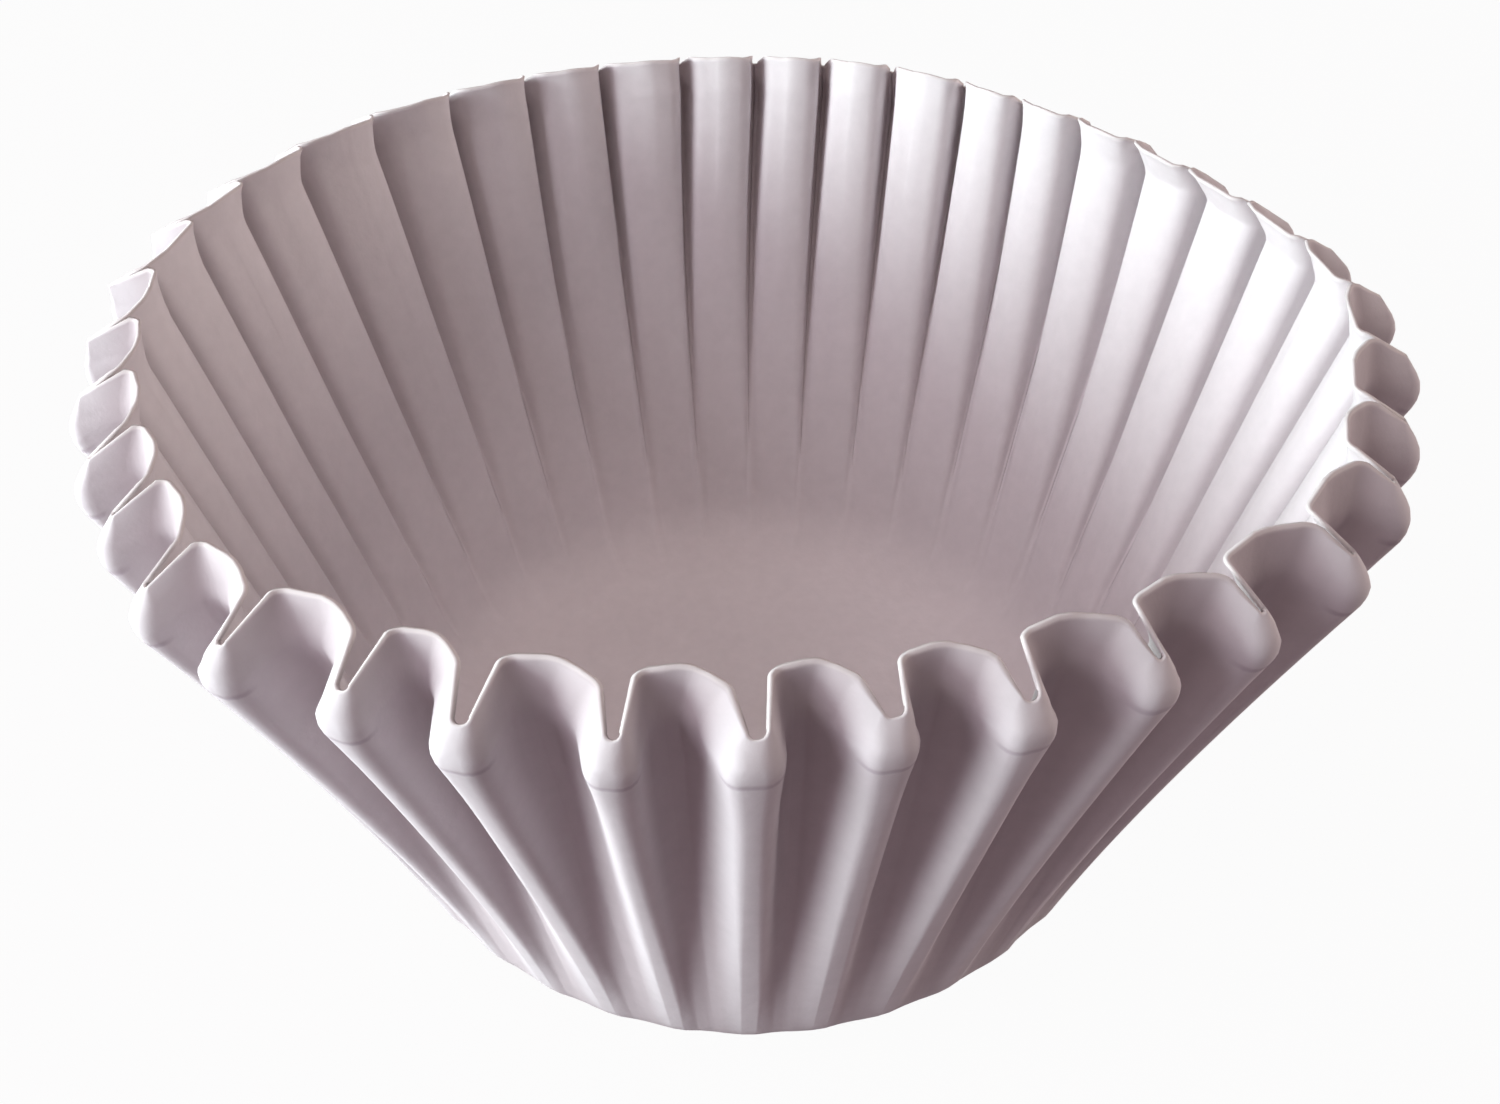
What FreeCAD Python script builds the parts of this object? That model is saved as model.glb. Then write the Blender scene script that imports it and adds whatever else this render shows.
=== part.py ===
import FreeCAD, Part
import os
import Sketcher
from FreeCAD import Placement, Rotation, Vector
from math import pi, radians

# A pleated paper cupcake liner (a 50 mm muffin case), pressed from one round sheet.
# Millimetres, +Z up, the origin in the middle of the underside of the flat floor.
#
# One pleat is modelled and repeated all round. It is a wedge cut back to flat panels, with a
# round-crested flute swept up its middle. The flutes lean out more than the panels, and their
# sides splay towards the panels, so they get deeper and wider towards the rim, as the paper that
# the cone has to spare does. A press crease runs around
# the wall just below the rim, and above it both fold in. The foot is bevelled, and the rim is cut
# square to the wall. The same form, made again a sheet's thickness further in, hollows it.

SIZES = [
    ("pleats", 38, "flutes around the wall"),
    ("base_diameter", 48.6, "across the panels, where they would meet the table"),
    ("wall_height", 37.2, "from the table to the rim at the panels"),
    ("panel_lean", 14.9, "degrees that the panels lean out below the press crease"),
    ("paper_thickness", 0.1, "the sheet"),
    ("flute_width", 2.2, "twice the outside radius of a flute's rounded crest"),
    ("flute_splay", 9, "degrees that each side of a flute opens out towards the panels"),
    ("flute_root", 0.7, "how far behind the panels a flute's sides run where it is deepest"),
    ("flute_lean", 18.5, "degrees that the crests lean out below the press crease"),
    ("foot_depth", 0.95, "how far the crests stand out where they would meet the table"),
    ("foot_height", 2.4, "of the two bevels of the foot, from the floor up to the crests"),
    ("foot_margin", 0.15, "how far the bevels pass outside the crests at their top"),
    ("collar_height", 2.2, "from the press crease up to the rim, at the panels"),
    ("crease_drop", 0.85, "how much lower the crease is in the middle of a flute's crest"),
    ("collar_panel_lean", 20, "degrees that the panels lean in above the crease"),
    ("collar_flute_lean", 24, "degrees that the crests lean in above the crease"),
    ("rim_slope", 15, "degrees that the rim falls towards the crests, square to the wall"),
    ("overrun", 4, "how far the forms run past the floor and the rim before they are trimmed"),
]

doc = FreeCAD.newDocument("cupcake_liner")
sheet = doc.addObject("Spreadsheet::Sheet", "Sizes")
for row, (alias, value, note) in enumerate(SIZES, start=1):
    sheet.set(f"A{row}", alias)
    sheet.set(f"B{row}", str(value))
    sheet.set(f"C{row}", note)
    sheet.setAlias(f"B{row}", alias)
doc.recompute()


def number(expression):
    """The value that an expression on the sheet's cells has now."""
    result = sheet.evalExpression(expression)
    return float(getattr(result, "Value", result))


def angle(alias):
    return f"(Sizes.{alias} * 1 deg)"


START, END, CENTRE = 1, 2, 3
ORIGIN = (-1, 1)
X_AXIS, Y_AXIS = -1, -2

PANEL_TAN = f"tan({angle('panel_lean')})"
FLUTE_TAN = f"tan({angle('flute_lean')})"
COLLAR_TAN = f"tan({angle('collar_panel_lean')})"
BASE_RADIUS = "Sizes.base_diameter / 2"
PANEL_CREASE_HEIGHT = "(Sizes.wall_height - Sizes.collar_height)"
CREST_CREASE_HEIGHT = f"({PANEL_CREASE_HEIGHT} - Sizes.crease_drop)"
# Where the middle line of a flute's rounded crest meets the table, and where it starts.
CREST_FOOT = (
    f"({BASE_RADIUS} + Sizes.foot_depth - Sizes.flute_width / 2 / cos({angle('flute_lean')}))"
)
CREST_BOTTOM = f"({CREST_FOOT} - Sizes.overrun * {FLUTE_TAN})"
# Where the crest's middle line and the panels turn in at the press crease.
CREST_CREASE = f"({CREST_FOOT} + {CREST_CREASE_HEIGHT} * {FLUTE_TAN})"
PANEL_CREASE = f"({BASE_RADIUS} + {PANEL_CREASE_HEIGHT} * {PANEL_TAN})"
# The bevels follow a round that is tangent to the floor and passes just outside the crests.
FLOOR_RADIUS = (
    f"({BASE_RADIUS} + Sizes.foot_depth + Sizes.foot_margin"
    f" - Sizes.foot_height * (1 - {FLUTE_TAN}))"
)
RIM_RADIUS = f"({PANEL_CREASE} - Sizes.collar_height * {COLLAR_TAN})"
# The rim's highest point is the inner edge in the middle of a panel, this far out in the middle
# plane of the pleat.
RIM_PEAK = f"(({RIM_RADIUS} - Sizes.paper_thickness) * cos(180 deg / Sizes.pleats))"
# How far the forms reach up before they are trimmed, and how far out and back the trims reach.
FORM_TOP = "(Sizes.wall_height + Sizes.overrun)"
OUTSIDE = f"({RIM_RADIUS} + 3 * Sizes.overrun)"
BEHIND = "(2 * Sizes.overrun)"
BEYOND = f"({OUTSIDE} + 2 * Sizes.overrun)"


def origin_feature(body, role):
    return [item for item in body.Origin.OriginFeatures if item.Role == role][0]


def new_sketch(body, name, plane):
    sketch = body.newObject("Sketcher::SketchObject", name)
    sketch.AttachmentSupport = (origin_feature(body, plane), [""])
    sketch.MapMode = "FlatFace"
    return sketch


def fix(sketch, kind, *where):
    sketch.addConstraint(Sketcher.Constraint(kind, *where))


def dimension(sketch, kind, *where, size):
    """A driving dimension bound to an expression on the sheet."""
    index = sketch.addConstraint(Sketcher.Constraint(kind, *where, number(size)))
    sketch.setExpression(f"Constraints[{index}]", size)


def negative(size):
    return "0" if size == "0" else f"(-{size})"


def place(sketch, corner, across, up):
    """Fixes a corner of the sketch at two signed distances from the origin, given as expressions."""
    for kind, axis, size in (("DistanceX", Y_AXIS, across), ("DistanceY", X_AXIS, up)):
        if size == "0":
            fix(sketch, "PointOnObject", *corner, axis)
        elif number(size) > 0:
            dimension(sketch, kind, *ORIGIN, *corner, size=size)
        else:
            dimension(sketch, kind, *corner, *ORIGIN, size=f"-({size})")


def chain(sketch, corners):
    """Straight lines through corners that are given as pairs of expressions."""
    points = [Vector(number(across), number(up), 0) for across, up in corners]
    lines = [
        sketch.addGeometry(Part.LineSegment(first, second))
        for first, second in zip(points, points[1:])
    ]
    for first, second in zip(lines, lines[1:]):
        fix(sketch, "Coincident", first, END, second, START)
    ends = [(line, START) for line in lines] + [(lines[-1], END)]
    for end, corner in zip(ends, corners):
        place(sketch, end, *corner)
    return lines


def polygon(sketch, corners):
    """A closed outline through the corners."""
    lines = chain(sketch, corners)
    last, first = [Vector(number(corner[0]), number(corner[1]), 0)
                   for corner in (corners[-1], corners[0])]
    closing = sketch.addGeometry(Part.LineSegment(last, first))
    fix(sketch, "Coincident", lines[-1], END, closing, START)
    fix(sketch, "Coincident", closing, END, lines[0], START)


def sector(body, reach_back):
    """A wedge that is one pleat wide, with its point on the axis or behind it."""
    sketch = new_sketch(body, f"{body.Name}SectorOutline", "XY_Plane")
    sketch.setExpression(".AttachmentOffset.Base.z", "-Sizes.overrun")
    half_width = f"(({OUTSIDE} + {reach_back}) * tan(180 deg / Sizes.pleats))"
    polygon(sketch, [
        (negative(reach_back), "0"),
        (OUTSIDE, negative(half_width)),
        (OUTSIDE, half_width),
    ])
    wedge = body.newObject("PartDesign::Pad", f"{body.Name}Sector")
    wedge.Profile = sketch
    wedge.setExpression("Length", f"{FORM_TOP} + Sizes.overrun")
    return wedge


def panels(body, inset):
    """Cuts the wedge back to the two flat panels that meet behind the flute."""
    base = f"({BASE_RADIUS} - {inset} / cos({angle('panel_lean')}))"
    crease = f"({base} + {PANEL_CREASE_HEIGHT} * {PANEL_TAN})"
    rise = "(Sizes.collar_height + 2 * Sizes.overrun)"
    top = "(Sizes.wall_height + 2 * Sizes.overrun)"
    bottom = "(-2 * Sizes.overrun)"
    sketch = new_sketch(body, f"{body.Name}PanelOutline", "XZ_Plane")
    sketch.AttachmentOffset = Placement(Vector(), Rotation(Vector(0, 1, 0), 1))
    sketch.setExpression(".AttachmentOffset.Rotation.Angle", "180 deg / Sizes.pleats")
    polygon(sketch, [
        (f"({base} - 2 * Sizes.overrun * {PANEL_TAN})", bottom),
        (crease, PANEL_CREASE_HEIGHT),
        (f"({crease} - {rise} * {COLLAR_TAN})", top),
        (BEYOND, top),
        (BEYOND, bottom),
    ])
    cut = body.newObject("PartDesign::Pocket", f"{body.Name}Panel")
    cut.Profile = sketch
    cut.Type = "ThroughAll"
    cut.Midplane = True
    mirror = body.newObject("PartDesign::Mirrored", f"{body.Name}Panels")
    mirror.Originals = [cut]
    mirror.MirrorPlane = (origin_feature(body, "XZ_Plane"), [""])
    body.Tip = mirror
    return mirror


def crest_line(body):
    """The middle of a flute's rounded crest: up the wall to the crease, then folded in."""
    rise = f"({FORM_TOP} - {CREST_CREASE_HEIGHT})"
    sketch = new_sketch(body, f"{body.Name}CrestLine", "XZ_Plane")
    chain(sketch, [
        (CREST_BOTTOM, "(-Sizes.overrun)"),
        (CREST_CREASE, CREST_CREASE_HEIGHT),
        (f"({CREST_CREASE} - {rise} * tan({angle('collar_flute_lean')}))", FORM_TOP),
    ])
    return sketch


def flute_section(body, inset):
    """A section across the foot of the crest line: a rounded crest with splayed sides."""
    sketch = new_sketch(body, f"{body.Name}FluteSection", "XY_Plane")
    sketch.AttachmentOffset = Placement(Vector(), Rotation(Vector(0, 1, 0), 1))
    sketch.setExpression(".AttachmentOffset.Base.x", CREST_BOTTOM)
    sketch.setExpression(".AttachmentOffset.Base.z", "-Sizes.overrun")
    sketch.setExpression(".AttachmentOffset.Rotation.Angle", angle("flute_lean"))
    radius = f"(Sizes.flute_width / 2 - {inset})"
    splay = angle("flute_splay")
    touch = (f"({radius} * sin({splay}))", f"({radius} * cos({splay}))")
    depth = f"({CREST_CREASE} - {PANEL_CREASE} + Sizes.flute_root)"
    half_width = f"(({radius} + {depth} * sin({splay})) / cos({splay}))"
    lines = chain(sketch, [
        touch,
        (negative(depth), half_width),
        (negative(depth), negative(half_width)),
        (touch[0], negative(touch[1])),
    ])
    circle = Part.Circle(Vector(), Vector(0, 0, 1), number(radius))
    reach = pi / 2 - radians(number("Sizes.flute_splay"))
    crest = sketch.addGeometry(Part.ArcOfCircle(circle, -reach, reach))
    fix(sketch, "Coincident", lines[-1], END, crest, START)
    fix(sketch, "Coincident", crest, END, lines[0], START)
    fix(sketch, "PointOnObject", crest, CENTRE, Y_AXIS)
    return sketch


def flute(body, inset):
    """One flute: its section swept along its crest line."""
    sweep = body.newObject("PartDesign::AdditivePipe", f"{body.Name}Flute")
    sweep.Profile = flute_section(body, inset)
    sweep.Spine = (crest_line(body), ["Edge1", "Edge2"])
    sweep.Transition = "Right corner"
    return sweep


def cut_across(body, name, sketch):
    """Cuts the whole width of the sector away inside an outline in its middle plane."""
    cut = body.newObject("PartDesign::Pocket", f"{body.Name}{name}")
    cut.Profile = sketch
    cut.Type = "ThroughAll"
    cut.Midplane = True
    return cut


def foot(body, inset):
    """Cuts the sector off level with the floor and bevels it in two steps up to the crest."""
    radius = f"(Sizes.foot_height - {inset})"
    step = f"({radius} * cos(45 deg))"
    sketch = new_sketch(body, f"{body.Name}FootOutline", "XZ_Plane")
    polygon(sketch, [
        (negative(BEHIND), inset),
        (FLOOR_RADIUS, inset),
        (f"({FLOOR_RADIUS} + {step})", f"(Sizes.foot_height - {step})"),
        (f"({FLOOR_RADIUS} + {radius})", "Sizes.foot_height"),
        (BEYOND, "Sizes.foot_height"),
        (BEYOND, "(-2 * Sizes.overrun)"),
        (negative(BEHIND), "(-2 * Sizes.overrun)"),
    ])
    return cut_across(body, "Foot", sketch)


def rim(body):
    """Cuts the sector off at the rim, which falls from the panels to the crest."""
    slope = f"tan({angle('rim_slope')})"
    inner = f"({RIM_PEAK} - Sizes.overrun)"
    start = f"(Sizes.wall_height + Sizes.overrun * {slope})"
    above = "(Sizes.wall_height + 2 * Sizes.overrun)"
    sketch = new_sketch(body, f"{body.Name}RimOutline", "XZ_Plane")
    polygon(sketch, [
        (negative(BEHIND), start),
        (inner, start),
        (BEYOND, f"(Sizes.wall_height - ({BEYOND} - {RIM_PEAK}) * {slope})"),
        (BEYOND, above),
        (negative(BEHIND), above),
    ])
    return cut_across(body, "Rim", sketch)


def pleat(name, inset, reach_back, has_rim):
    """One pleat of the solid form under a face of the sheet that lies that far in."""
    body = doc.addObject("PartDesign::Body", name)
    sector(body, reach_back)
    panels(body, inset)
    flute(body, inset)
    cuts = [foot(body, inset)]
    if has_rim:
        cuts.append(rim(body))
    doc.recompute()
    for cut in cuts:
        if cut.Shape.Volume > cut.BaseFeature.Shape.Volume - 1:
            raise ValueError(f"{cut.Name} cut nothing")
    return body


# One pleat is the outer form less the inner form, and the liner is that pleat all round.
liner = pleat("Liner", "0", "0", has_rim=True)
liner.Label = "liner"
inside = pleat("Inside", "Sizes.paper_thickness", "Sizes.overrun", has_rim=False)
hollow = liner.newObject("PartDesign::Boolean", "Sheet")
hollow.Type = "Cut"
hollow.setObjects([inside])
doc.recompute()
pleats = liner.newObject("PartDesign::PolarPattern", "Pleats")
pleats.TransformMode = "Whole shape"
pleats.Axis = (origin_feature(liner, "Z_Axis"), [""])
pleats.Angle = 360
pleats.setExpression("Occurrences", "Sizes.pleats")
pleats.Refine = True
liner.Tip = pleats
# A crest points to the front, along -Y.
liner.Placement = Placement(Vector(), Rotation(Vector(0, 0, 1), -90))
doc.recompute()

for item in doc.Objects:
    if "Invalid" in item.State or "Error" in item.State:
        raise ValueError(f"{item.Name} failed: {item.State}")
shape = liner.Shape
if shape.isNull() or not shape.isValid() or len(shape.Solids) != 1:
    raise ValueError("the liner is not one valid solid")

os.makedirs("parts", exist_ok=True)
shape.exportStep(f"parts/{liner.Label}.step")
box = shape.BoundBox
print(f"liner {box.XLength:.2f} x {box.YLength:.2f} x {box.ZLength:.2f} mm, {shape.Volume:.0f} mm3")
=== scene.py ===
import random
from math import acos, atan2, cos, exp, pi, radians, sin, tan

import bpy
import numpy as np
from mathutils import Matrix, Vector


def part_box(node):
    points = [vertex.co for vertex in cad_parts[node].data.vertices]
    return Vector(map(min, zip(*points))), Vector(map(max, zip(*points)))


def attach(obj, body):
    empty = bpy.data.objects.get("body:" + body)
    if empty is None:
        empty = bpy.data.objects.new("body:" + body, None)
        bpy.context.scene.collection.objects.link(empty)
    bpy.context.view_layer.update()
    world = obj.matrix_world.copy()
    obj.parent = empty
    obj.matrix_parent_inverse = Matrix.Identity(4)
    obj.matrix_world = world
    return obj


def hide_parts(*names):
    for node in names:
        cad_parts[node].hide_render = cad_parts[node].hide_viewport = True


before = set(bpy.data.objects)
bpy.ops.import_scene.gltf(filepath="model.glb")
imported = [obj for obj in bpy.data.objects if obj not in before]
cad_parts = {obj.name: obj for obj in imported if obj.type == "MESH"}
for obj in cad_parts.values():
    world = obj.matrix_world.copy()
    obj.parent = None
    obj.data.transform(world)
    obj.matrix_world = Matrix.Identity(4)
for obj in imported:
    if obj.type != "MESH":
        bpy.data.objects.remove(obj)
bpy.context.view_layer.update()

# A pleated paper cupcake liner, laid out as the flat round sheet that it was pressed from: rings
# around the middle of the floor, and pleats around each ring. Lengths are in millimetres until
# the mesh is made. Bearings are in degrees, counterclockwise from above, with the right side at
# 0 and the front at -90. "Up" the wall is 0 at the foot, 1 at the press crease and 2 at the rim.

MM = 0.001
low, high = [Vector(corner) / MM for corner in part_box("liner")]
RIM_HEIGHT = high.z
GREATEST_RADIUS = (high.y - low.y) / 2

# ---------------------------------------------------------------------------------------------
# The sheet's shape
# ---------------------------------------------------------------------------------------------

PLEATS = 38
PAPER = 0.1
# The last two rings of the rim stand thicker, as a roughly cut edge does.
RIM_THICKNESS = (0.15, 0.22)
FRONT = radians(-90)

# The wall's outline along the panels, which lie inside, and along the crests of the flutes:
# radius and height at the foot, at the press crease and at the rim.
PANEL_LINE = ((24.0, 0), (33.4, 34.9), (32.75, RIM_HEIGHT - 0.1))
CREST_LINE = ((24.2, 0), (GREATEST_RADIUS + 0.2, 33.9), (35.3, 35.8))
# Radii of the bends at the foot and at the press crease.
PANEL_BENDS = (4.5, 1.8)
CREST_BENDS = (4.5, 2.0)
# How far the rim rises in the middle of each panel, above a straight line between its folds.
RIM_DOME = 0.12
# How quickly the collar's change of section sets in above the crease: over 1, slowly at first.
COLLAR_EASE = 1.5
# Rings on the floor, up the wall and up the collar, and around each bend between them.
LINE_RUNS = (4, 20, 6)
LINE_BEND_STEPS = 4

# How a flute's section changes up the wall: at the foot, at the crease and at the rim.
ROOT_HALF_WIDTH = (1.30, 1.60, 0.85)
CREST_HALF_WIDTH = (0.35, 0.85, 0.38)
LEFT_ROOT_BEND = (1.0, 1.3, 0.9)
RIGHT_ROOT_BEND = (1.0, 1.0, 0.5)
CREST_BEND = (0.5, 0.9, 0.4)
# The shoulder: how wide the strip to the left of a flute is, and how far it turns out.
SHOULDER_WIDTH = (0.3, 1.4, 1.8)
SHOULDER_OUT = (0, 0.45, 0.8)
SHOULDER_BEND = 3.5
# How far the middle of a panel bows inward, and the bend there.
PANEL_BOW = (0.10, 0.30, 0.25)
PANEL_BEND = 4.0
# How much of its lean a flute has.
LEAN_SHARE = (0, 1, 0.4)
# How fast the flutes deepen on the way up to the crease: above 0, they stay shallow for longer.
DEPTH_EASE = 0.5
LEAST_DEPTH = 0.02
# How much each side of a crest swells at the crease, and over how much of the height.
KNUCKLE, KNUCKLE_REACH = 0.25, 0.07
# The roots keep to this much of the half panel beside them, a crest to this much of its roots'
# width, and a shoulder to this much of the panel that the roots leave.
ROOT_ROOM, CREST_ROOM, SHOULDER_ROOM = 0.8, 0.7, 0.6
# How much of a straight part a bend may take up, and the half angle from which a corner counts
# as straight, in degrees.
BEND_ROOM = 0.49
STRAIGHT = 89.5
# Points along each straight part of a section, and around each of its bends.
SECTION_RUNS = (1,) * 8
SECTION_BEND_STEPS = 4

# ---------------------------------------------------------------------------------------------
# The sheet's small faults
# ---------------------------------------------------------------------------------------------

# How far the crests turn, in degrees, on the way down from the crease to the foot.
TWIST = -2.0
# The crests drift along the wall, one way near a bearing and opposite it and the other way in
# between: how far in degrees, that bearing, how much of it there is at the sides, and how much
# more at the back and less at the front.
DRIFT, DRIFT_BEARING = 2.6, 5
SIDE_DRIFT, BACK_DRIFT = 0.6, 0.4
# How far each crest strays at the crease, and sways halfway up, in degrees to either side.
STRAY, SWAY = 0.5, 0.5
# The spread of the flutes' widths, how much narrower they are away from the front, and how near
# the front that sets in, as a sine.
WIDTHS = (0.90, 1.10)
CLOSED, CLOSED_EDGE = 0.6, 0.9
# How much narrower the flutes are at the rim on the left and right sides.
SIDE_SQUEEZE = 0.6
# The spread of the crests' heights at the rim, how much higher they are than their line there,
# how much lower again at the back, and how much higher the crease lies at the front.
RISES = (-0.15, 0.15)
RISE, BACK_DROP, FRONT_CREASE_RISE = 0.1, 0.1, 0.8
# The spread of how far the crests lean over their roots to the right at the crease.
LEANS = (0.3, 0.7)
# The spread of how far the crests stand out at the rim, how much further they do at the sides
# and less at the front and back, and how much of that the back gets back.
PUSHES = (-0.25, 0.15)
SIDE_PUSH, BACK_PUSH = 0.35, 0.3
# How much of that push the crease takes, and how far the crease is drawn in at the front.
CREASE_PUSH, FRONT_DRAW = 0.7, 0.6
# The folds at the front, from the left to the right: how far each crest leans over its roots to
# the right at the crease, how far it stands out at the rim, and how wide its roots are there.
FRONT_FOLDS = {
    -5: (0.3, 0.3, 0.55), -4: (0.4, 0.5, 0.65), -3: (0.5, 0.5, 0.85), -2: (0.6, 0.5, 0.95),
    -1: (0.5, 0.1, 0.9), 0: (0.7, 0.0, 0.95), 1: (0.8, -0.4, 1.1), 2: (0.5, -0.1, 0.9),
    3: (0.6, -0.2, 0.6), 4: (0.4, 0.0, 0.5), 5: (0.3, 0.1, 0.45),
}
# The foot stands a little off the middle.
FOOT_SHIFT = (0.2, -1.9)
# The wall isn't quite round: where it stands out or is dented in at the crease, as a bearing and
# a reach in degrees, and how far out; and the same for how far the collar leans out above it.
WALL_WAVES = (
    (150, 20, 0.6), (92, 32, -1.3), (46, 20, -2.1), (-6, 13, 0.7), (-38, 10, 0.8),
    (-80, 24, -0.9), (226, 9, 0.9), (183, 12, -0.3),
)
COLLAR_WAVES = ((90, 50, 1.2), (22, 16, -1.3), (175, 16, 0.9))
SEED = 11


def rounded_path(corners, bends, runs, bend_steps):
    """Points along straight runs that are joined by tangent arcs."""
    corners = [Vector(corner) for corner in corners]
    points = [corners[0]]

    def add_run(end, count):
        start = points[-1]
        points.extend(start.lerp(end, step / count) for step in range(1, count + 1))

    for index in range(1, len(corners) - 1):
        corner = corners[index]
        back = corners[index - 1] - corner
        ahead = corners[index + 1] - corner
        room = BEND_ROOM * min(back.length, ahead.length)
        back.normalize()
        ahead.normalize()
        half = acos(max(-1.0, min(1.0, back.dot(ahead)))) / 2
        if half > radians(STRAIGHT):
            add_run(corner - ahead * room, runs[index - 1])
            add_run(corner + ahead * room, bend_steps)
            continue
        setback = min(bends[index - 1] / tan(half), room)
        middle = corner + (back + ahead).normalized() * (setback / cos(half))
        add_run(corner + back * setback, runs[index - 1])
        start = points[-1] - middle
        end = corner + ahead * setback - middle
        whole_turn = atan2(start.x * end.y - start.y * end.x, start.dot(end))
        for step in range(1, bend_steps + 1):
            turn = whole_turn * step / bend_steps
            across = start.x * cos(turn) - start.y * sin(turn)
            along = start.x * sin(turn) + start.y * cos(turn)
            points.append(middle + Vector((across, along)))
    add_run(corners[-1], runs[-1])
    return points


def between(values, up):
    """A size on the way from the foot past the crease to the rim."""
    if up < 1:
        return values[0] + (values[1] - values[0]) * up
    part = min(1.0, up - 1)
    return values[1] + (values[2] - values[1]) * part ** COLLAR_EASE


def line_points(line, bends, crease_shift=(0, 0), rim_shift=(0, 0)):
    """A line up the wall, from the middle of the floor to the rim."""
    foot, crease, rim = line
    corners = [
        (0, 0),
        foot,
        (crease[0] + crease_shift[0], crease[1] + crease_shift[1]),
        (rim[0] + rim_shift[0], rim[1] + rim_shift[1]),
    ]
    return rounded_path(corners, bends, LINE_RUNS, LINE_BEND_STEPS)


def share_up(point):
    """How far up the wall a point on a panel's line is."""
    crease, rim = PANEL_LINE[1][1], PANEL_LINE[2][1]
    if point.y < crease:
        return point.y / crease
    return 1 + (point.y - crease) / (rim - crease)


def wave(turn, waves):
    """How much further out the wall stands than a round one would."""
    out = 0.0
    for bearing, reach, most in waves:
        off = (turn - radians(bearing) + pi) % (2 * pi) - pi
        out += most * exp(-(off / radians(reach)) ** 2)
    return out


class Pleat:
    """One flute and the halves of the panels beside it, with its own small faults."""

    def __init__(self, number, chance):
        self.turn = FRONT + number * 2 * pi / PLEATS
        back = max(0.0, sin(self.turn)) ** 2
        front = max(0.0, -sin(self.turn)) ** 2
        sideways = cos(2 * self.turn)
        drift = DRIFT * cos(2 * (self.turn - radians(DRIFT_BEARING)))
        drift *= SIDE_DRIFT + BACK_DRIFT * sin(self.turn)
        self.stray = radians(drift + chance.uniform(-STRAY, STRAY))
        self.sway = radians(chance.uniform(-SWAY, SWAY))
        # How far the collar folds in above the crease: not at all in the middle of the back.
        self.tuck = 1 - back
        closed = min(1.0, max(0.0, sin(self.turn) + CLOSED_EDGE))
        self.width = chance.uniform(*WIDTHS) * (1 - CLOSED * closed)
        self.rise = chance.uniform(*RISES) + RISE - BACK_DROP * back
        self.crease_rise = self.rise / 2 + FRONT_CREASE_RISE * front
        self.lean = chance.uniform(*LEANS)
        self.squeeze = 1 - SIDE_SQUEEZE * cos(self.turn) ** 2
        self.push = chance.uniform(*PUSHES) + SIDE_PUSH * sideways + BACK_PUSH * back
        place = (number + PLEATS // 2) % PLEATS - PLEATS // 2
        if place in FRONT_FOLDS:
            self.lean, self.push, self.squeeze = FRONT_FOLDS[place]
        self.crease_push = self.push * CREASE_PUSH * self.tuck - FRONT_DRAW * front

    def angle(self, up):
        """Where the middle of the flute's roots is, so that a crest leans without moving."""
        reach = min(up, 1.0)
        crest = self.turn + radians(TWIST) * (1 - reach) + self.stray * reach
        crest += self.sway * sin(pi * reach)
        return crest - self.lean * between(LEAN_SHARE, self.fold(up)) / PANEL_LINE[1][0]

    def fold(self, up):
        """How far up the section's change has got, which falls behind where the collar folds less."""
        return min(up, 1.0) + max(0.0, up - 1) * self.tuck

    def crest_line(self):
        crease_shift = (self.crease_push, self.crease_rise)
        return line_points(CREST_LINE, CREST_BENDS, crease_shift, (self.push, self.rise))


def section_path(pleat, left, right, depth, up):
    """One pleat's section along a ring: how far it is across and how far out, point by point."""
    fold = pleat.fold(up)
    width = between((1, 1, pleat.squeeze), fold) * pleat.width
    root = min(between(ROOT_HALF_WIDTH, fold) * width, ROOT_ROOM * min(left, right))
    swell = KNUCKLE * exp(-((up - 1) / KNUCKLE_REACH) ** 2) * pleat.tuck
    crest = min(between(CREST_HALF_WIDTH, fold) * width, CREST_ROOM * root) + swell
    shift = pleat.lean * between(LEAN_SHARE, fold)
    bow = between(PANEL_BOW, fold) * min(1.0, depth)
    shoulder = root + min(between(SHOULDER_WIDTH, fold), SHOULDER_ROOM * (left - root))
    corners = [
        (shoulder - 2 * left, 0),
        (-left, -bow),
        (-shoulder, 0),
        (-root, between(SHOULDER_OUT, fold)),
        (shift - crest, depth),
        (shift + crest, depth),
        (root, 0),
        (right, -bow),
        (2 * right - root, 0),
    ]
    crest_bend = between(CREST_BEND, fold)
    bends = [
        PANEL_BEND,
        SHOULDER_BEND,
        between(LEFT_ROOT_BEND, fold),
        crest_bend,
        crest_bend,
        between(RIGHT_ROOT_BEND, fold),
        PANEL_BEND,
    ]
    path = rounded_path(corners, bends, SECTION_RUNS, SECTION_BEND_STEPS)
    # The path starts and ends past the middles of the panels, where the next pleats take over.
    past = SECTION_RUNS[0] + SECTION_BEND_STEPS // 2
    return path[past:-past - 1]


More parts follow.
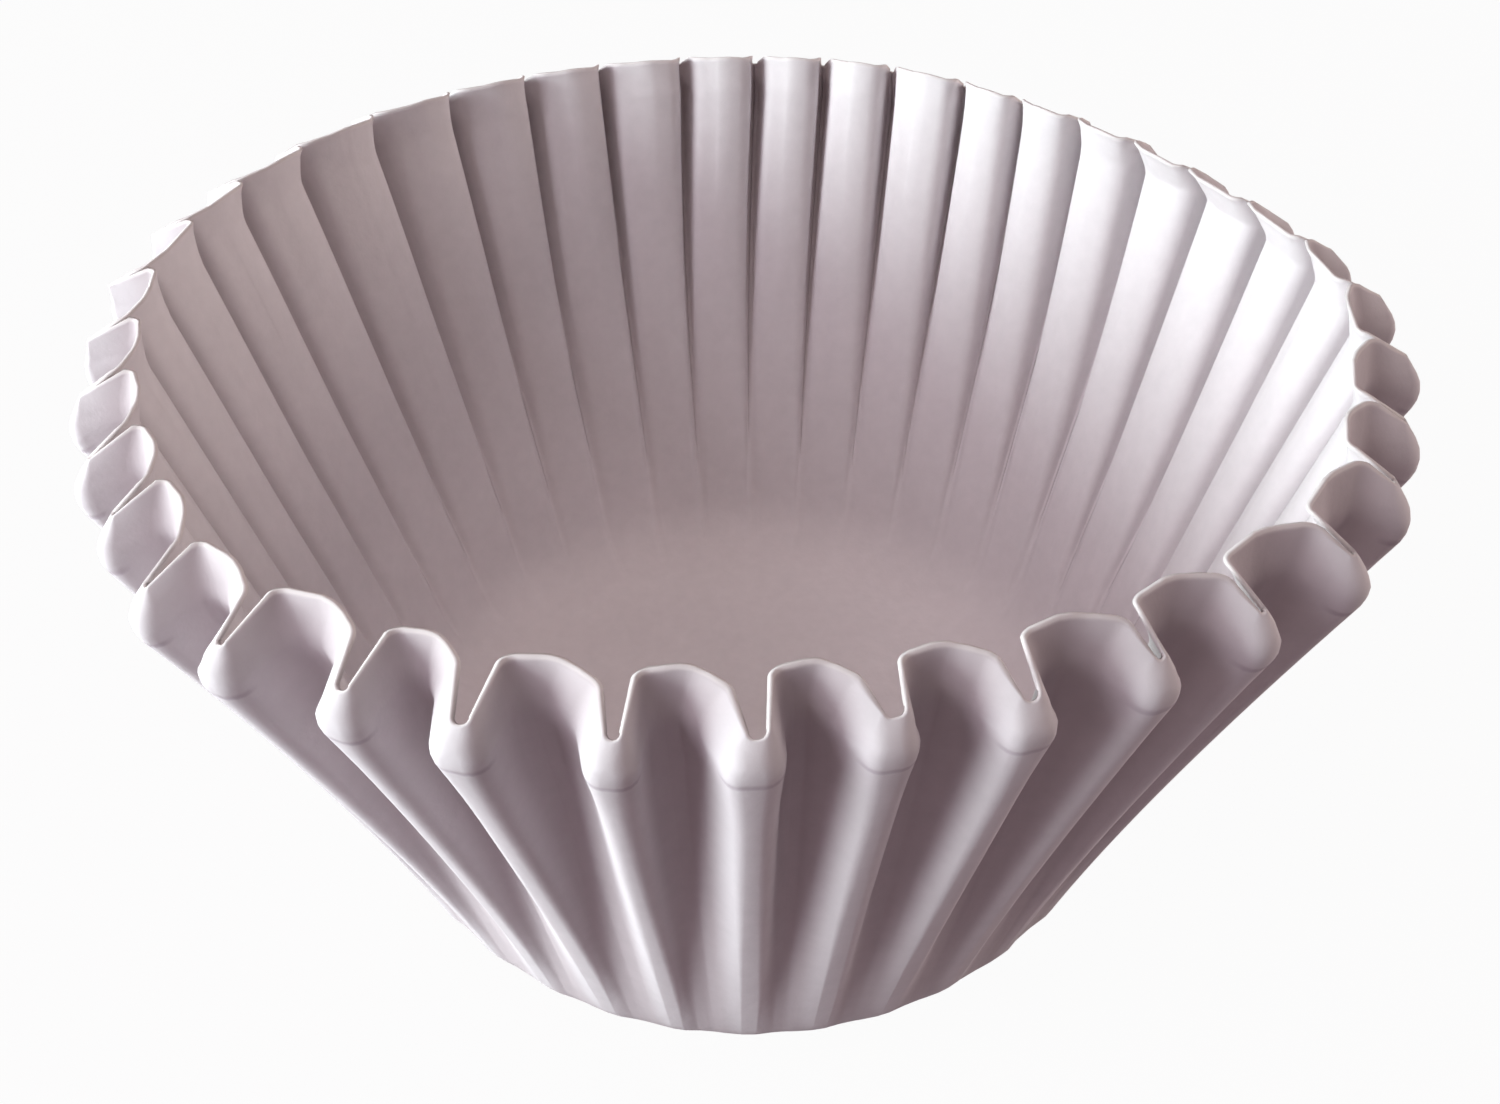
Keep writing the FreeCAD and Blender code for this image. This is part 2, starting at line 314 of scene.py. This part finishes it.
def pleat_section(pleat, before, after, up, panel, crest):
    """One pleat's outer face along a ring, from the middle of a panel to that of the next."""
    crest = panel.lerp(crest, min(up, 1.0) ** DEPTH_EASE)
    depth = max((crest - panel).length, LEAST_DEPTH)
    left = (pleat.angle(up) - before.angle(up)) % (2 * pi) / 2 * panel.x
    right = (after.angle(up) - pleat.angle(up)) % (2 * pi) / 2 * panel.x
    reach = min(up, 1.0)
    above = max(0.0, up - 1)
    section = []
    for point in section_path(pleat, left, right, depth, up):
        share = point.y / depth
        place = panel.lerp(crest, share)
        turn = pleat.angle(up) + point.x / place.x
        toward_panel = min(1.0, abs(point.x) / (left if point.x < 0 else right))
        dome = RIM_DOME * above * sin(pi / 2 * toward_panel)
        droop = (crest.y - panel.y) * (max(share, 0.0) ** (1 + above) - max(share, 0.0))
        radius = place.x + wave(turn, WALL_WAVES) * reach ** 2 + wave(turn, COLLAR_WAVES) * above
        section.append((
            radius * cos(turn) + FOOT_SHIFT[0] * (1 - reach),
            radius * sin(turn) + FOOT_SHIFT[1] * (1 - reach),
            place.y + dome + droop,
            share,
        ))
    return section


def sheet_grid():
    """The outer face as rings of points, with how far each point stands out of the panels."""
    chance = random.Random(SEED)
    pleats = [Pleat(number, chance) for number in range(PLEATS)]
    crests = [pleat.crest_line() for pleat in pleats]
    panel = line_points(PANEL_LINE, PANEL_BENDS)
    ups = [share_up(point) for point in panel]
    grid = []
    for ring in range(1, len(ups)):
        points = []
        for index, (pleat, crest) in enumerate(zip(pleats, crests)):
            before, after = pleats[index - 1], pleats[(index + 1) % PLEATS]
            points += pleat_section(pleat, before, after, ups[ring], panel[ring], crest[ring])
        grid.append(points)
    return np.array(grid), ups[1:]


def face_normals(grid):
    around = np.roll(grid, -1, axis=1) - np.roll(grid, 1, axis=1)
    along = np.gradient(grid, axis=0)
    normal = np.cross(around, along)
    return normal / np.linalg.norm(normal, axis=2, keepdims=True)


def inner_face(outer):
    """The sheet's inner face, a thickness further in than its outer face."""
    thickness = np.full((len(outer), 1, 1), PAPER)
    thickness[-len(RIM_THICKNESS):, 0, 0] = RIM_THICKNESS
    return outer - face_normals(outer) * thickness


def sheet_faces(rings, columns):
    """The faces of both sides of the sheet, of its cut edge and of the middle of its floor."""
    faces = []
    lift = rings * columns
    for ring in range(rings - 1):
        for column in range(columns):
            after = (column + 1) % columns
            quad = [
                ring * columns + column,
                ring * columns + after,
                (ring + 1) * columns + after,
                (ring + 1) * columns + column,
            ]
            faces.append(quad)
            faces.append([lift + corner for corner in reversed(quad)])
    top = (rings - 1) * columns
    for column in range(columns):
        after = (column + 1) % columns
        faces.append([top + column, top + after, lift + top + after, lift + top + column])
    faces.append(list(range(columns))[::-1])
    faces.append([lift + column for column in range(columns)])
    return faces


def place_in_scene(name, mesh, material):
    mesh.materials.append(material)
    placed = bpy.data.objects.new(name, mesh)
    bpy.context.collection.objects.link(placed)
    return placed


def make_liner():
    grid, ups = sheet_grid()
    outer, share = grid[:, :, :3], grid[:, :, 3].reshape(-1)
    inner = inner_face(outer)
    floor_rings = LINE_RUNS[0] - 1
    outer[:floor_rings, :, 2] = 0
    inner[:floor_rings, :, 2] = PAPER
    rings, columns = outer.shape[:2]
    points = np.concatenate([outer.reshape(-1, 3), inner.reshape(-1, 3)]) * MM

    mesh = bpy.data.meshes.new("liner_paper")
    mesh.from_pydata(points.tolist(), [], sheet_faces(rings, columns))
    mesh.polygons.foreach_set("use_smooth", [True] * len(mesh.polygons))
    heights = np.repeat(np.array(ups), columns)
    for name, outer_values, inner_values in (
        ("height", heights, heights),
        ("crest", share, share),
        ("inside", np.zeros(rings * columns), np.ones(rings * columns)),
    ):
        attribute = mesh.attributes.new(name, "FLOAT", "POINT")
        attribute.data.foreach_set("value", np.concatenate([outer_values, inner_values]))
    mesh.update()
    return place_in_scene("pleated_paper", mesh, paper_finish())


# ---------------------------------------------------------------------------------------------
# Finishes
# ---------------------------------------------------------------------------------------------

class Value:
    """A shader socket; arithmetic on it adds Math nodes."""

    def __init__(self, shader, socket):
        self.shader = shader
        self.socket = socket

    def math(self, operation, first, second):
        return self.shader.node("ShaderNodeMath", {"operation": operation}, {0: first, 1: second})[0]

    def __add__(self, other):
        return self.math("ADD", self, other)

    def __sub__(self, other):
        return self.math("SUBTRACT", self, other)

    def __rsub__(self, other):
        return self.math("SUBTRACT", other, self)

    def __mul__(self, other):
        return self.math("MULTIPLY", self, other)

    __radd__ = __add__
    __rmul__ = __mul__


class Shader:
    """A material or a world that is built up from nodes."""

    def __init__(self, owner):
        owner.use_nodes = True
        self.owner = owner
        self.tree = owner.node_tree
        self.tree.nodes.clear()

    def node(self, kind, settings=None, sockets=None):
        """Adds a node with its settings and its sockets' values or links.

        Returns its outputs, by their numbers and by their names.
        """
        made = self.tree.nodes.new(kind)
        for name, value in (settings or {}).items():
            setattr(made, name, value)
        for name, value in (sockets or {}).items():
            if isinstance(value, Value):
                self.tree.links.new(value.socket, made.inputs[name])
            else:
                made.inputs[name].default_value = value
        outputs = {}
        for number, socket in enumerate(made.outputs):
            outputs[number] = outputs[socket.name] = Value(self, socket)
        return outputs

    def attribute(self, name):
        return self.node("ShaderNodeAttribute", {"attribute_name": name})["Fac"]

    def blend(self, part, first, second, blend_type="MIX"):
        """A colour between two colours; a Mix node's colours are its sockets 6, 7 and 2."""
        settings = {"data_type": "RGBA", "blend_type": blend_type}
        return self.node("ShaderNodeMix", settings, {0: part, 6: first, 7: second})[2]

    def step(self, value, low_edge, high_edge):
        """0 below one edge and 1 above the other, smooth in between."""
        settings = {"interpolation_type": "SMOOTHSTEP"}
        sockets = {"Value": value, "From Min": low_edge, "From Max": high_edge}
        return self.node("ShaderNodeMapRange", settings, sockets)[0]

    def noise(self, place, scale, detail, rough):
        sockets = {"Vector": place, "Scale": scale, "Detail": detail, "Roughness": rough}
        return self.node("ShaderNodeTexNoise", {}, sockets)[0]

    def mix(self, part, first, second):
        """A shader between two shaders."""
        return self.node("ShaderNodeMixShader", {}, {0: part, 1: first, 2: second})[0]

    def finished(self, output, surface):
        self.node(output, {}, {"Surface": surface})
        return self.owner


WHITE = (1, 1, 1, 1)
# The paper's colours: on the panels and in the flutes, seen from the inside and the outside. The
# inside ones are the paper's own. The outside ones are painted shade: darker and more mauve than the
# inside, and darkest on the outside of the panels, down in the valleys between the crests.
INSIDE_PANEL = (0.80, 0.75, 0.77, 1)
INSIDE_FLUTE = (0.81, 0.76, 0.78, 1)
SHADED_OUTSIDE_PANEL = (0.555, 0.49, 0.515, 1)
SHADED_OUTSIDE_CREST = (0.68, 0.63, 0.655, 1)
CUT_EDGE_HIGHLIGHT = (0.74, 0.68, 0.68, 1)
CREASE_PAINTED_SHADE = (0.34, 0.26, 0.32, 1)
# How the paper colours the light that comes through it, and how much comes through.
THROUGH_LIGHT = (1.0, 0.86, 0.80, 1)
THROUGH_SHARE = 0.1
# Where these set in and are full, as how far a point stands out of the panels: the lighter colour
# of the crests outside, against the painted valley shade, that of the flutes inside, and the
# painted shade line of the press crease.
OUTSIDE_CREST_EDGES = (0.1, 0.8)
INSIDE_FLUTE_EDGES = (0.2, 0.9)
CREASE_EDGES = (0.6, 0.9)
# The crests and flutes take the panels' colours at the foot; up the wall, where their colours start
# and are full.
FOOT_EDGES = (0.0, 0.15)
# The press crease: where its line of painted shade starts and ends up the wall, how far it wanders
# and how dark it is.
CREASE_START, CREASE_END, CREASE_SOFTNESS = 0.974, 0.988, 0.006
CREASE_WANDER = 0.03
CREASE_SHADE_STRENGTH = 0.4
# Where the cut edge's painted highlight starts up the wall, where it is full, and how full.
EDGE_START, EDGE_FULL, EDGE_HIGHLIGHT_STRENGTH = 1.90, 1.96, 0.75
# The paper's fibres and its cloudiness: their scale, detail and roughness, and their shade.
FIBRES = (900.0, 4.0, 0.6)
CLOUDS = (120.0, 3.0, 0.5)
FIBRE_SHADE, CLOUD_SHADE, PLAIN_SHADE = 0.12, 0.10, 0.89
# The relief of the fibres, how far the crease is pressed in beside them, and the sheen.
RELIEF = {"Strength": 0.3, "Distance": 0.00012}
CREASE_RELIEF = 0.8
SHEEN = {"Roughness": 0.75, "Specular IOR Level": 0.25}
FLOOR_COLOUR = (0.36, 0.27, 0.30, 1)
# How white the floor is seen; the rest is its own colour, which shows the shadow.
FLOOR_WHITENESS = 0.96


def paper_colour_and_painted_light(paper, height, crest, inside, crease, mottle):
    # The outside is painted darker and more mauve than the inside, as shade, and darkest on the
    # panels, down in the valleys between the crests; the inside keeps the paper's own colour.
    outer = paper.blend(paper.step(crest, *OUTSIDE_CREST_EDGES), SHADED_OUTSIDE_PANEL, SHADED_OUTSIDE_CREST)
    inner = paper.blend(paper.step(crest, *INSIDE_FLUTE_EDGES), INSIDE_PANEL, INSIDE_FLUTE)
    colour = paper.blend(inside, outer, inner)
    # Painted shade: a dark line along the press crease on the crests' outside.
    colour = paper.blend(crease * CREASE_SHADE_STRENGTH, colour, CREASE_PAINTED_SHADE)
    # A painted highlight along the rim: a band lighter than the outside, where the cut edge catches
    # the light; inside, the same colour comes out a little darker than the paper.
    edge = paper.step(height, EDGE_START, EDGE_FULL) * EDGE_HIGHLIGHT_STRENGTH
    colour = paper.blend(edge, colour, CUT_EDGE_HIGHLIGHT)
    grey = paper.node("ShaderNodeCombineColor", {}, {0: mottle, 1: mottle, 2: mottle})[0]
    return paper.blend(1.0, colour, grey, "MULTIPLY")


def press_crease(paper, height, crest, inside, cloud):
    """1 on the crests' outside along the line of the press, which wanders a little up and down;
    painted shade and a pressed-in relief follow it.
    """
    wander = height + cloud * CREASE_WANDER - CREASE_WANDER / 2
    begun = paper.step(wander, CREASE_START, CREASE_START + CREASE_SOFTNESS)
    line = begun * paper.step(wander, CREASE_END, CREASE_END - CREASE_SOFTNESS)
    return line * paper.step(crest, *CREASE_EDGES) * (1.0 - inside)


def paper_finish():
    paper = Shader(bpy.data.materials.new("baking_paper"))
    place = paper.node("ShaderNodeTexCoord")["Object"]
    height = paper.attribute("height")
    crest = paper.attribute("crest") * paper.step(height, *FOOT_EDGES)
    inside = paper.attribute("inside")
    fibres = paper.noise(place, *FIBRES)
    cloud = paper.noise(place, *CLOUDS)
    crease = press_crease(paper, height, crest, inside, cloud)
    mottle = fibres * FIBRE_SHADE + cloud * CLOUD_SHADE + PLAIN_SHADE
    colour = paper_colour_and_painted_light(paper, height, crest, inside, crease, mottle)

    relief = fibres - crease * CREASE_RELIEF
    bump = paper.node("ShaderNodeBump", {}, RELIEF | {"Height": relief})[0]
    sockets = SHEEN | {"Base Color": colour, "Normal": bump}
    sheet = paper.node("ShaderNodeBsdfPrincipled", {}, sockets)[0]
    warm = paper.blend(1.0, colour, THROUGH_LIGHT, "MULTIPLY")
    glow = paper.node("ShaderNodeBsdfTranslucent", {}, {"Color": warm, "Normal": bump})[0]
    return paper.finished("ShaderNodeOutputMaterial", paper.mix(THROUGH_SHARE, sheet, glow))


def floor_finish():
    """White to what looks at it straight, in a reflection or through something; matt to the light."""
    floor = Shader(bpy.data.materials.new("pale_floor"))
    matt = floor.node("ShaderNodeBsdfDiffuse", {}, {"Color": FLOOR_COLOUR})[0]
    white = floor.node("ShaderNodeEmission", {}, {"Color": WHITE})[0]
    rays = floor.node("ShaderNodeLightPath")
    seen = rays["Is Camera Ray"] + rays["Is Glossy Ray"] + rays["Is Transmission Ray"]
    return floor.finished("ShaderNodeOutputMaterial", floor.mix(seen * FLOOR_WHITENESS, matt, white))


# ---------------------------------------------------------------------------------------------
# The studio
# ---------------------------------------------------------------------------------------------

FLOOR_REACH = 3000
WORLD_COLOUR = (1.0, 0.86, 0.90, 1)
WORLD_STRENGTH = 0.08
# The softboxes: name, bearing, elevation in degrees, width, watts and colour.
LAMPS = (
    ("window", 191, 4, 400, 6.4, (0.85, 1.0, 0.97)),
    ("wall", 206, 28, 300, 1.1, (0.95, 0.90, 1.0)),
    ("ceiling", 290, 84, 400, 0.6, (1.0, 0.84, 0.80)),
    ("room", 10, 3, 400, 1.9, (1.0, 0.88, 0.82)),
)
LAMP_DISTANCE = 450
CAMERA_PLACE = (-1.81, -72.4, 76.6)
CAMERA_PITCH = radians(39.6)
CAMERA_TURN = radians(-1.8)
CAMERA_ROLL = 0.0024
CAMERA_LENS = 34.4
CAMERA_SENSOR = 36
CAMERA_NEAREST = 1


def make_floor():
    reach = FLOOR_REACH * MM
    corners = [(-reach, -reach, 0), (reach, -reach, 0), (reach, reach, 0), (-reach, reach, 0)]
    mesh = bpy.data.meshes.new("floor")
    mesh.from_pydata(corners, [], [(0, 1, 2, 3)])
    place_in_scene("floor", mesh, floor_finish())


def make_world():
    """A dim, even light, with white behind everything."""
    world = Shader(bpy.data.worlds.new("studio"))
    sockets = {"Color": WORLD_COLOUR, "Strength": WORLD_STRENGTH}
    dim = world.node("ShaderNodeBackground", {}, sockets)[0]
    white = world.node("ShaderNodeBackground", {}, {"Color": WHITE})[0]
    seen = world.node("ShaderNodeLightPath")["Is Camera Ray"]
    bpy.context.scene.world = world.finished("ShaderNodeOutputWorld", world.mix(seen, dim, white))


def make_lamp(name, bearing, elevation, width, watts, colour):
    """A round softbox that faces the liner."""
    data = bpy.data.lights.new(name, "AREA")
    data.shape = "DISK"
    data.size = width * MM
    data.energy = watts
    data.color = colour
    light = bpy.data.objects.new(name, data)
    turn, rise = radians(bearing), radians(elevation)
    toward_lamp = Vector((cos(turn) * cos(rise), sin(turn) * cos(rise), sin(rise)))
    light.location = toward_lamp * LAMP_DISTANCE * MM
    aim = Vector((0, 0, RIM_HEIGHT / 2)) * MM - light.location
    light.rotation_euler = aim.to_track_quat("-Z", "Y").to_euler()
    bpy.context.collection.objects.link(light)


def place_camera():
    data = bpy.data.cameras.new("camera")
    data.lens = CAMERA_LENS
    data.sensor_width = CAMERA_SENSOR
    data.clip_start = CAMERA_NEAREST * MM
    camera = bpy.data.objects.new("camera", data)
    camera.location = Vector(CAMERA_PLACE) * MM
    camera.rotation_euler = (pi / 2 - CAMERA_PITCH, CAMERA_ROLL, CAMERA_TURN)
    bpy.context.collection.objects.link(camera)
    bpy.context.scene.camera = camera


liner = make_liner()
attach(liner, "root")
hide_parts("liner")

make_floor()
make_world()
for softbox in LAMPS:
    make_lamp(*softbox)
place_camera()
bpy.context.scene.view_settings.view_transform = "Standard"
